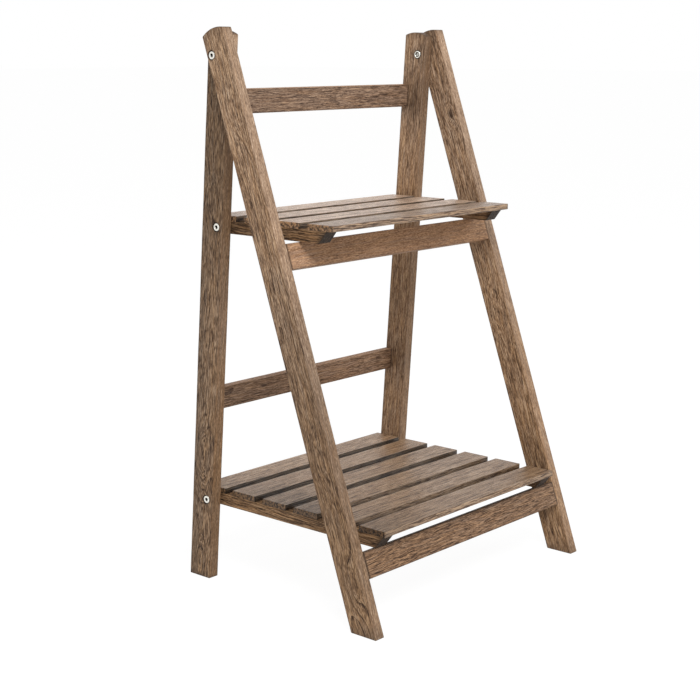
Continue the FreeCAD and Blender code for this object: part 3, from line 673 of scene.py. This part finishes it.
# Back rails: two thin boards of the front rails' wood between the rear legs, flush with their rear
# faces and joined by dowels. The shelves lie in front of them when they are folded up.
BACK_RAIL_THICKNESS = 10.5 * MM
BACK_RAIL_HEIGHTS = {"upper": 29.0 * MM, "lower": 27.5 * MM}
BACK_RAIL_RUNS = {"upper": 568.14 * MM, "lower": 208.24 * MM}
BACK_RAIL_GRAIN = {
    "upper": {"seed": 41, "heart": (-4, 30), "drift": (0.004, 0.012),
              "tone": (0.74, 1.1), "flecks": (0.9, 0.4), "warmth": (0.1, 0.6),
              "tone_and_painted_light": [(-150, 0, 30, 100, -0.12), (60, 0, 110, 100, 0.08)]},
    "lower": {"seed": 42, "heart": (5, 24), "drift": (-0.01, 0.016),
              "tone": (0.68, 1.2), "flecks": (1.0, 0.4), "warmth": (0.5, 0.5),
              "tone_and_painted_light": [(-130, 0, 90, 100, -0.16), (80, 0, 70, 100, 0.3)],
              "stains": [(-130, 0, 90, 100, -0.2)]},
}
for tier in ("upper", "lower"):
    rail = rail_piece(f"back_rail_{tier}_board", f"back_rail_{tier}", (rear_corner, rear_along, rear_across),
                      BACK_RAIL_RUNS[tier], BACK_RAIL_HEIGHTS[tier], -BACK_RAIL_THICKNESS,
                      BACK_RAIL_THICKNESS, REAR_INNER, BACK_RAIL_GRAIN[tier])
    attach(rail, "rear_frame")

# Bearers: two battens of darker stained wood under each shelf's slat ends, with a sloping front end.
# The shelf bolts turn in them, and the slats are nailed to them from below.
SHELF_SIDE = 170.5 * MM
BEARER_THICKNESS = 19.0 * MM
BEARER_HEIGHT = 14.4 * MM
BEARER_SLOPE = 11.0 * MM
BEARER_EASE = 0.8 * MM
BEARER_END_EASE = 0.4 * MM
BEARER_REAR_SETBACK = 2.0 * MM
BEARER_ROWS = 40
BEARER_SEEDS = {"left": 0, "right": 3}
SLAT_THICKNESS = 7.0 * MM
SLAT_WIDTH = 37.5004 * MM
SLAT_PITCH = 50.0004 * MM
SHELF_TAIL = 24.0003 * MM
SHELVES = {
    "upper": {"level": 448.5227 * MM, "pivot": 105.6913 * MM, "slats": 4, "setback": 9.0 * MM, "seed": 50},
    "lower": {"level": 112.4807 * MM, "pivot": 126.3628 * MM, "slats": 6, "setback": 2.0 * MM, "seed": 70},
}
# The bearers' ends are a nearly black grey: dark end grain with painted shade, as they lie under the slats.
BEARER_WOOD = stained_wood("bearer_wood", dark=colour(46, 34, 25), middle=colour(108, 83, 60),
                           light=colour(160, 128, 94), rim=colour(160, 128, 94),
                           ends=(colour(26, 24, 24), colour(56, 47, 40)),
                           ring=3.0 * MM, dash=20.0 * MM, fibre=0.71 * MM, depths=(1.7, 1.8, 0.6),
                           sheen=0.5, gloss=0.15)


def sloped_front(a, b):
    """The front end: its lower edge lies behind its upper edge, in a straight slope."""
    return BEARER_SLOPE * (0.5 - b / BEARER_HEIGHT)


for tier, shelf in SHELVES.items():
    front = shelf["pivot"] + SHELF_TAIL - shelf["slats"] * SLAT_PITCH + (SLAT_PITCH - SLAT_WIDTH)
    first = front + shelf["setback"]
    length = shelf["pivot"] + SHELF_TAIL - BEARER_REAR_SETBACK - first
    middle = shelf["level"] - SLAT_THICKNESS - BEARER_HEIGHT / 2
    for side, sign in (("left", -1), ("right", 1)):
        origin = np.array([sign * (SHELF_SIDE - BEARER_THICKNESS / 2), first, middle])
        place = (origin, (0, 1, 0), (1, 0, 0), (0, 0, 1))
        rows = np.linspace(BEARER_SLOPE + END_MARGIN, length - END_MARGIN, BEARER_ROWS)
        grain = {"seed": shelf["seed"] + BEARER_SEEDS[side], "heart": (-sign * 14, -22),
                 "drift": (0.01, 0.02), "tone": (1.0, 1.1), "flecks": (1.0, 1.0), "warmth": (0.55, 0.55)}
        bearer = wooden_piece(f"{tier}_bearer_{side}_batten", f"{tier}_bearer_{side}", place,
                              (BEARER_THICKNESS / 2, BEARER_HEIGHT / 2), BEARER_EASE, BEARER_END_EASE,
                              rows, (sloped_front, square_end(length)), grain, BEARER_WOOD)
        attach(bearer, f"{tier}_shelf")

# Slats: thin boards across each pair of bearers, nailed from below, with gaps between them and eased
# edges. Their tops are planed smoother than the legs and stained a greyer brown.
SLAT_EASE = 0.5 * MM
SLAT_END_EASE = 0.45 * MM
SLAT_ROWS = 44
SLAT_SEED = 6
SLAT_WOOD = stained_wood("slat_wood", dark=colour(82, 62, 48), middle=colour(146, 120, 96),
                         light=colour(188, 162, 136), rim=colour(188, 162, 136),
                         ends=(colour(44, 32, 23), colour(158, 122, 88)),
                         ring=3.0 * MM, dash=22.0 * MM, fibre=0.71 * MM, depths=(2.2, 2.4, 0.3),
                         sheen=0.28, gloss=0.25)
# The upper shelf's tops are much lighter and greyer than the lower's: a painted sheen, the white surround
# mirrored at a low angle.
SLAT_TONES_AND_PAINTED_SHEEN = {"upper": (1.78, 1.7, 1.6, 1.1), "lower": (1.03, 0.92, 0.84, 0.82, 0.78, 0.71)}
# The slats' narrow faces in the gaps are dark, deepest towards the back: painted shade in the gaps, on a
# darker stain. The front slat's front face keeps its own tone.
SLAT_NARROW_TONES_AND_GAP_SHADE = {"upper": (0.4, 0.4, 0.4, 0.88), "lower": (0.2, 0.2, 0.24, 0.5, 0.6, 0.85)}
SLAT_WARMTHS_AND_PAINTED_SHEEN = {"upper": -0.7, "lower": 0.35}
# The lower slats' left ends are darker: painted shade near the front leg.
SLAT_PAINTED_SHADE = {"upper": [], "lower": [(-172, 0, 60, 200, -0.3)]}
SLAT_STAINS = {"upper": [(-90, 0, 90, 200, -0.3)], "lower": [(-130, 0, 70, 200, 0.3)]}
# Painted shade on the lower side of the slats' narrow faces, less on the front slat.
SLAT_GAP_SHADE = 0.5
FRONT_SLAT_GAP_SHADE = 0.3
for tier, shelf in SHELVES.items():
    draw = np.random.default_rng(shelf["seed"])
    for number in range(shelf["slats"]):
        middle = shelf["pivot"] + SHELF_TAIL - number * SLAT_PITCH - SLAT_WIDTH / 2
        origin = np.array([0, middle, shelf["level"] - SLAT_THICKNESS / 2])
        place = (origin, (1, 0, 0), (0, 1, 0), (0, 0, 1))
        grain = {"seed": shelf["seed"] + SLAT_SEED + number,
                 "heart": (draw.uniform(-12, 12), -draw.uniform(14, 40)),
                 "drift": (draw.uniform(-0.012, 0.012), draw.uniform(-0.02, 0.02)),
                 "tone": (SLAT_TONES_AND_PAINTED_SHEEN[tier][number], SLAT_NARROW_TONES_AND_GAP_SHADE[tier][number]),
                 "flecks": (draw.uniform(0.75, 1.05), 1.6),
                 "warmth": (draw.uniform(0.5, 0.75) + SLAT_WARMTHS_AND_PAINTED_SHEEN[tier], 0.95),
                 "tone_and_painted_light": SLAT_PAINTED_SHADE[tier], "stains": SLAT_STAINS[tier],
                 "gap_shade": FRONT_SLAT_GAP_SHADE if number == shelf["slats"] - 1 else SLAT_GAP_SHADE}
        slat = wooden_piece(f"{tier}_slat_{number + 1}_board", f"{tier}_slat_{number + 1}", place,
                            (SLAT_WIDTH / 2, SLAT_THICKNESS / 2), SLAT_EASE, SLAT_END_EASE,
                            np.linspace(-SHELF_SIDE + END_MARGIN, SHELF_SIDE - END_MARGIN, SLAT_ROWS),
                            (square_end(-SHELF_SIDE), square_end(SHELF_SIDE)), grain, SLAT_WOOD)
        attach(slat, f"{tier}_shelf")

# Pivot bolts: flat round heads with a hexagon socket, sunk in the legs' counterbores, with a plain
# shank and a threaded tip. They are turned from steel and zinc plated.
BOLT_RADIUS = 3.0 * MM
HEAD_RADIUS = 4.75 * MM
HEAD_HEIGHT = 2.6 * MM
HEAD_ROUND = 0.8 * MM
SOCKET_KEY = 4.0 * MM
SOCKET_CORNER = SOCKET_KEY / math.sqrt(3)
SOCKET_DEPTH = 1.6 * MM
SOCKET_LIP_OUT = 0.25 * MM
SOCKET_LIP_DOWN = 0.2 * MM
THREAD_PITCH = 0.8 * MM
THREAD_DEPTH = 0.3 * MM
THREAD_TURNS = 6
# Painted shade, how black a row turns: in the socket, at its lip, on the seat under the head, on the thread
# and at the tip.
SOCKET_SHADE = 1.0
LIP_SHADE = 0.9
SEAT_SHADE = 0.6
THREAD_SHADE = 0.8
TIP_SHADE = 0.5
CENTRE_SHARE = 0.5
NUT_THICKNESS = 3.5 * MM
TIP_SETBACK = 1.0 * MM
BEARER_INNER = SHELF_SIDE - BEARER_THICKNESS
PIVOTS = {
    "top_pivot": {"body": "front_frame", "y": 94.994 * MM, "z": 634.65 * MM, "head": HALF_WIDTH,
                  "nut": REAR_INNER + BOLT_RECESS_DEPTH, "gap": (REAR_OUTER, HALF_WIDTH - LEG_THICKNESS)},
    "upper_shelf_pivot": {"body": "rear_frame", "y": 105.6913 * MM, "z": 436.3227 * MM,
                          "head": REAR_OUTER, "nut": BEARER_INNER, "gap": (SHELF_SIDE, REAR_INNER)},
    "lower_shelf_pivot": {"body": "rear_frame", "y": 126.3628 * MM, "z": 100.2807 * MM,
                          "head": REAR_OUTER, "nut": BEARER_INNER, "gap": (SHELF_SIDE, REAR_INNER)},
}


def turned_pair(name, profile, closed, y, z, sides=48):
    """A left and a right piece turned round one axis along X.

    The profile has rows of radius, reach, corners and shade. Point = (side * reach,
    y + radius * cos, z + radius * sin). A row with corners takes the radius of a hexagon, corner
    radius * cos 30 / cos(angle within its side - 30). A closed profile joins its last row to its
    first, and an open one ends in a point on the axis at both ends. Shade is painted shade: how black
    the row is, as in a socket or a bore.
    """
    radius, reach, corners, painted_shade = np.asarray(profile, float).T
    angle = np.arange(sides) * 2 * np.pi / sides
    within = np.mod(angle, np.pi / 3) - np.pi / 6
    hexagon = math.cos(math.pi / 6) / np.cos(within)
    spread_radius = radius[:, None] * np.where(corners[:, None] > 0, hexagon[None], 1.0)
    index = np.arange(len(radius) * sides).reshape(-1, sides)
    after = np.roll(index, -1, axis=1)
    rings = np.concatenate([index, index[:1]]) if closed else index
    nexts = np.concatenate([after, after[:1]]) if closed else after
    quads = np.stack([rings[:-1], nexts[:-1], nexts[1:], rings[1:]], axis=-1).reshape(-1, 4)
    points, faces, row_shade, start = [], [], [], 0
    for side in (-1, 1):
        row_shade.append(np.repeat(painted_shade, sides))
        ring = np.stack([np.repeat(side * reach[:, None], sides, axis=1),
                         y + spread_radius * np.cos(angle),
                         z + spread_radius * np.sin(angle)], axis=-1).reshape(-1, 3)
        points.append(ring)
        faces.append(quads + start)
        if not closed:
            poles = np.array([[side * reach[0], y, z], [side * reach[-1], y, z]])
            points.append(poles)
            row_shade.append(painted_shade[[0, -1]])
            for pole, row in ((0, 0), (1, -1)):
                centre = np.full(sides, start + len(ring) + pole)
                faces.append(np.stack([index[row] + start, after[row] + start, centre], axis=-1))
        start = sum(len(block) for block in points)
    piece = new_piece(name, np.concatenate(points), faces)
    give(piece, "painted_shade", np.repeat(np.concatenate(row_shade)[:, None], 3, axis=1))
    return piece


def even_noise(tree, cells):
    """Noise over a piece's own coordinates, with so many cells per metre in every direction."""
    place = shader_node(tree, "ShaderNodeTexCoord").outputs["Object"]
    return cloudy(tree, place, (cells, cells, cells)).outputs[0]


# Zinc plate: bright grey metal, its shine broken by fine noise and dulled in wide clouds. Rows with
# painted shade turn nearly black.
ZINC_CLOUDS = 420.0
ZINC_SPECKS = 3200.0
FINE_RELIEF = 0.0001
NOISE_SPAN = (0.3, 0.7)
ZINC, tree = new_finish("zinc_steel")
cloud = even_noise(tree, ZINC_CLOUDS)
speck = even_noise(tree, ZINC_SPECKS)
base = blended(tree, spread(tree, cloud, *NOISE_SPAN), colour(250, 248, 240), colour(226, 223, 212))
painted_shade = shader_node(tree, "ShaderNodeAttribute", attribute_name="painted_shade").outputs["Fac"]
base = blended(tree, painted_shade, base, colour(26, 24, 22))
rough = arithmetic(tree, "ADD", spread(tree, cloud, *NOISE_SPAN, 0.2, 0.34),
                   spread(tree, speck, *NOISE_SPAN, 0.0, 0.1))
bump = shader_node(tree, "ShaderNodeBump", {"Strength": 0.15, "Distance": FINE_RELIEF, "Height": speck})
show(tree, shader_node(tree, "ShaderNodeBsdfPrincipled", {"Base Color": base, "Roughness": rough,
                                                         "Metallic": 1.0, "Normal": bump.outputs[0]}))
for label, pivot in PIVOTS.items():
    seat = pivot["head"] - BOLT_RECESS_DEPTH
    face = seat + HEAD_HEIGHT
    tip = pivot["nut"] - NUT_THICKNESS + TIP_SETBACK
    rim = [(HEAD_RADIUS - HEAD_ROUND * (1 - math.sin(turn)),
            face - HEAD_ROUND * (1 - math.cos(turn)), 0, 0) for turn in np.radians(END_TURNS)]
    thread = [(BOLT_RADIUS - THREAD_DEPTH * (step % 2),
               tip + THREAD_PITCH * (THREAD_TURNS - step / 2), 0, THREAD_SHADE)
              for step in range(2 * THREAD_TURNS)]
    profile = [(SOCKET_CORNER * CENTRE_SHARE, face - SOCKET_DEPTH, 1, SOCKET_SHADE),
               (SOCKET_CORNER, face - SOCKET_DEPTH, 1, SOCKET_SHADE),
               (SOCKET_CORNER, face - SOCKET_LIP_DOWN, 1, LIP_SHADE),
               (SOCKET_CORNER + SOCKET_LIP_OUT, face, 1, 0),
               *rim, (HEAD_RADIUS, seat, 0, SEAT_SHADE), (BOLT_RADIUS, seat, 0, 0), *thread,
               (BOLT_RADIUS - THREAD_DEPTH, tip, 0, THREAD_SHADE),
               (BOLT_RADIUS * CENTRE_SHARE, tip, 0, TIP_SHADE)]
    bolts = turned_pair(f"{label}_bolt_pair", profile, False, pivot["y"], pivot["z"])
    bolts.data.materials.append(ZINC)
    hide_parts(f"{label}_bolts")
    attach(bolts, pivot["body"])

# Nuts and washers: round steel rings with rounded rims, zinc plated. The nuts hold the bolts on the
# inside, and the top bolts have a washer between the two legs.
NUT_RADIUS = 4.75 * MM
NUT_BORE = 3.02 * MM
NUT_SOFT = 0.45 * MM
WASHER_RADIUS = 6.0 * MM
WASHER_BORE = 3.2 * MM
WASHER_SOFT = 0.2 * MM
# Painted shade in a ring's bore.
BORE_SHADE = 0.8
RIM_CUT = 0.3


def ring_profile(bore, radius, near, far, soft):
    """A ring's closed profile: a rectangle of bore to radius by near to far, its corners cut by soft."""
    cut = soft * RIM_CUT
    return [(bore, near + soft, 0, BORE_SHADE), (bore + soft, near, 0, 0), (radius - soft, near, 0, 0),
            (radius - cut, near + cut, 0, 0), (radius, near + soft, 0, 0), (radius, far - soft, 0, 0),
            (radius - cut, far - cut, 0, 0), (radius - soft, far, 0, 0), (bore + soft, far, 0, 0),
            (bore, far - soft, 0, BORE_SHADE)]


for label, pivot in PIVOTS.items():
    profile = ring_profile(NUT_BORE, NUT_RADIUS, pivot["nut"] - NUT_THICKNESS, pivot["nut"], NUT_SOFT)
    nuts = turned_pair(f"{label}_nut_pair", profile, True, pivot["y"], pivot["z"])
    nuts.data.materials.append(ZINC)
    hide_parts(f"{label}_nuts")
    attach(nuts, pivot["body"])
top = PIVOTS["top_pivot"]
profile = ring_profile(WASHER_BORE, WASHER_RADIUS, *top["gap"], WASHER_SOFT)
washers = turned_pair("top_pivot_washer_pair", profile, True, top["y"], top["z"])
washers.data.materials.append(ZINC)
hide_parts("top_pivot_washers")
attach(washers, top["body"])

# Spacers: dark nylon rings on the shelf bolts, moulded with rounded rims. They keep the bearers clear
# of the rear legs.
SPACER_RADIUS = 5.0 * MM
SPACER_SOFT = 0.5 * MM
NYLON_CLOUDS = 300.0
NYLON_SPECKS = 2400.0
NYLON, tree = new_finish("spacer_plastic")
cloud = even_noise(tree, NYLON_CLOUDS)
speck = even_noise(tree, NYLON_SPECKS)
base = blended(tree, spread(tree, cloud, *NOISE_SPAN), colour(52, 49, 46), colour(36, 34, 32))
rough = spread(tree, speck, *NOISE_SPAN, 0.4, 0.6)
bump = shader_node(tree, "ShaderNodeBump", {"Strength": 0.2, "Distance": FINE_RELIEF, "Height": speck})
show(tree, shader_node(tree, "ShaderNodeBsdfPrincipled", {"Base Color": base, "Roughness": rough,
                                                         "Normal": bump.outputs[0]}))
for label in ("upper_shelf_pivot", "lower_shelf_pivot"):
    pivot = PIVOTS[label]
    profile = ring_profile(WASHER_BORE, SPACER_RADIUS, *pivot["gap"], SPACER_SOFT)
    spacers = turned_pair(f"{label}_spacer_pair", profile, True, pivot["y"], pivot["z"])
    spacers.data.materials.append(NYLON)
    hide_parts(f"{label}_spacers")
    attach(spacers, pivot["body"])

# Nails and dowels: wire nails driven up through the bearers into the slats, and beech pegs glued into
# the rail joints. Their solids have the right shape and only need their finish.
BEECH_FIBRES = (60.0, 1400.0, 1400.0)
BEECH_RELIEF = 0.0002
BEECH, tree = new_finish("dowel_wood")
place = shader_node(tree, "ShaderNodeTexCoord").outputs["Object"]
fibre = cloudy(tree, place, BEECH_FIBRES, 3.0, 0.6).outputs[0]
base = ramp(tree, fibre, (0.3, colour(186, 150, 112)), (0.7, colour(222, 194, 158)))
rough = spread(tree, fibre, *NOISE_SPAN, 0.7, 0.5)
bump = shader_node(tree, "ShaderNodeBump", {"Strength": 0.3, "Distance": BEECH_RELIEF, "Height": fibre})
show(tree, shader_node(tree, "ShaderNodeBsdfPrincipled", {"Base Color": base, "Roughness": rough,
                                                         "Normal": bump.outputs[0]}))
for node, finish in (("front_rail_dowels", BEECH), ("back_rail_dowels", BEECH),
                     ("upper_slat_nails", ZINC), ("lower_slat_nails", ZINC)):
    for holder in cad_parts[node].material_slots:
        holder.material = finish

# Studio: a white floor that keeps a faint shadow, a white surround, one broad soft light from the
# front left above, and a weaker one from the right.
FLOOR_REACH = 40.0
FLOOR_DROP = 0.1 * MM
FLOOR_GLOW = 1.075
FLOOR_GLOW_SHARE = 0.88
SURROUND_LIGHT = 0.42
LIGHT_AIM = (0, 0, 0.3)


def seen_directly(tree):
    """1 for a ray from the camera, off a shiny surface or through a clear one, and 0 for any other."""
    seen = shader_node(tree, "ShaderNodeLightPath").outputs
    return arithmetic(tree, "MAXIMUM", seen["Is Camera Ray"],
                      arithmetic(tree, "MAXIMUM", seen["Is Glossy Ray"], seen["Is Transmission Ray"]))


floor_mesh = bpy.data.meshes.new("floor")
floor_mesh.from_pydata([(-FLOOR_REACH, -FLOOR_REACH, 0), (FLOOR_REACH, -FLOOR_REACH, 0),
                        (FLOOR_REACH, FLOOR_REACH, 0), (-FLOOR_REACH, FLOOR_REACH, 0)], [], [(0, 1, 2, 3)])
floor = bpy.data.objects.new("floor", floor_mesh)
floor.location.z = -FLOOR_DROP
bpy.context.collection.objects.link(floor)
floor_paint, tree = new_finish("floor_paint")
white = shader_node(tree, "ShaderNodeEmission", {"Color": (1, 1, 1, 1), "Strength": FLOOR_GLOW})
chalk = shader_node(tree, "ShaderNodeBsdfDiffuse", {"Color": (0.9, 0.9, 0.9, 1)})
glow = arithmetic(tree, "MULTIPLY", seen_directly(tree), FLOOR_GLOW_SHARE)
show(tree, shader_node(tree, "ShaderNodeMixShader", {0: glow, 1: chalk.outputs[0], 2: white.outputs[0]}))
floor_mesh.materials.append(floor_paint)

scene = bpy.context.scene
world = bpy.data.worlds.new("studio")
world.use_nodes = True
tree = world.node_tree
tree.nodes.clear()
strength = spread(tree, seen_directly(tree), 0.0, 1.0, SURROUND_LIGHT, 1.0)
surround = shader_node(tree, "ShaderNodeBackground", {"Color": (1, 1, 1, 1), "Strength": strength})
tree.links.new(surround.outputs[0], shader_node(tree, "ShaderNodeOutputWorld").inputs["Surface"])
scene.world = world


def softbox(name, place, aim, size, power):
    """A square area light at a place, turned to face a point."""
    lamp = bpy.data.lights.new(name, "AREA")
    lamp.size = size
    lamp.energy = power
    box = bpy.data.objects.new(name, lamp)
    bpy.context.collection.objects.link(box)
    away = np.asarray(place) - np.asarray(aim)
    flat = math.hypot(away[0], away[1])
    box.location = place
    box.rotation_euler = (math.atan2(flat, away[2]), 0, math.atan2(away[0], -away[1]))


softbox("key_light", (-1.4, -1.9, 2.7), LIGHT_AIM, size=1.4, power=84)
softbox("fill_light", (1.9, -1.9, 1.5), LIGHT_AIM, size=1.8, power=14)

# Camera: in front and to the left of the stand, about as high as its top pivots and tipped down a
# little. It has a long lens, shifted so that the stand lies in the frame as in the photograph.
CAMERA_PLACE = (-1.42881, -1.14330, 0.64174)
CAMERA_TIP = 10.5771
CAMERA_TURN = 47.1976
camera = bpy.data.cameras.new("camera")
camera.sensor_width = 36.0
camera.lens = 77.43
camera.shift_x = 0.10036
camera.shift_y = -0.0283
viewer = bpy.data.objects.new("camera", camera)
viewer.location = CAMERA_PLACE
viewer.rotation_euler = (math.radians(90 - CAMERA_TIP), 0, math.radians(-CAMERA_TURN))
bpy.context.collection.objects.link(viewer)
scene.camera = viewer
scene.view_settings.view_transform = "Standard"
